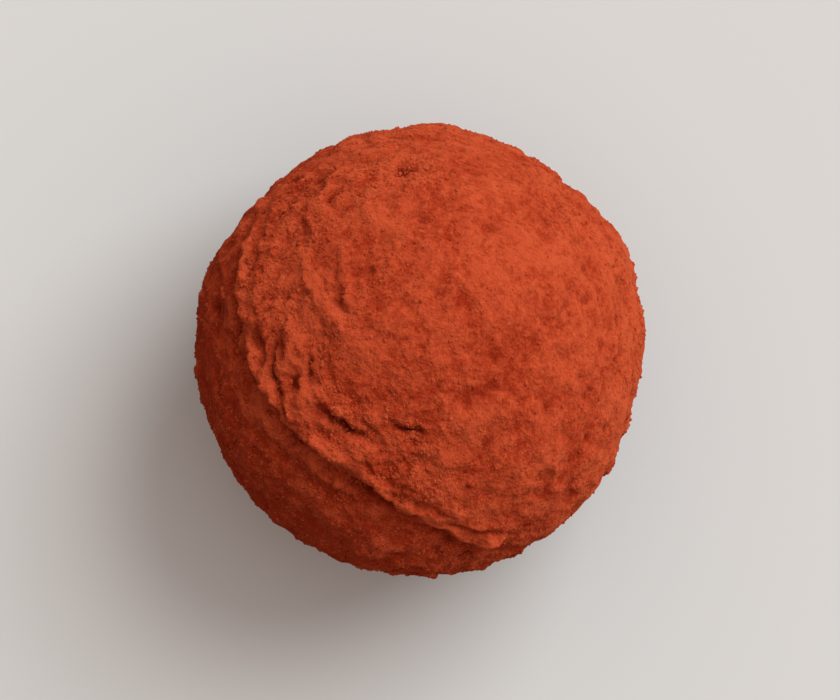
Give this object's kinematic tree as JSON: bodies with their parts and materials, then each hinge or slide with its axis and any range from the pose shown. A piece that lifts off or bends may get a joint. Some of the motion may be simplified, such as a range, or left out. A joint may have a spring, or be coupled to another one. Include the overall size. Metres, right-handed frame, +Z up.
{
  "type": "chocolate truffle",
  "caption": "Round hand-rolled chocolate truffle thickly dusted with reddish-brown cocoa powder, with a packed seam across one side, resting on a small flat spot.",
  "frame": {"origin": "on the resting plane, under the middle of the ball", "axes": "+Z up out of the flat spot; +X to the right and +Y away from the viewer as seen from above with the packed seam at the lower left"},
  "size_m": [0.025, 0.0252, 0.0244],
  "materials": {
    "cocoa_powder": "dry, fully matt, velvety reddish-brown cocoa powder, packed smooth in places and crumbly in others, over soft dark chocolate"
  },
  "bodies": {
    "root": {"truffle": "cocoa_powder"}
  },
  "joints": []
}
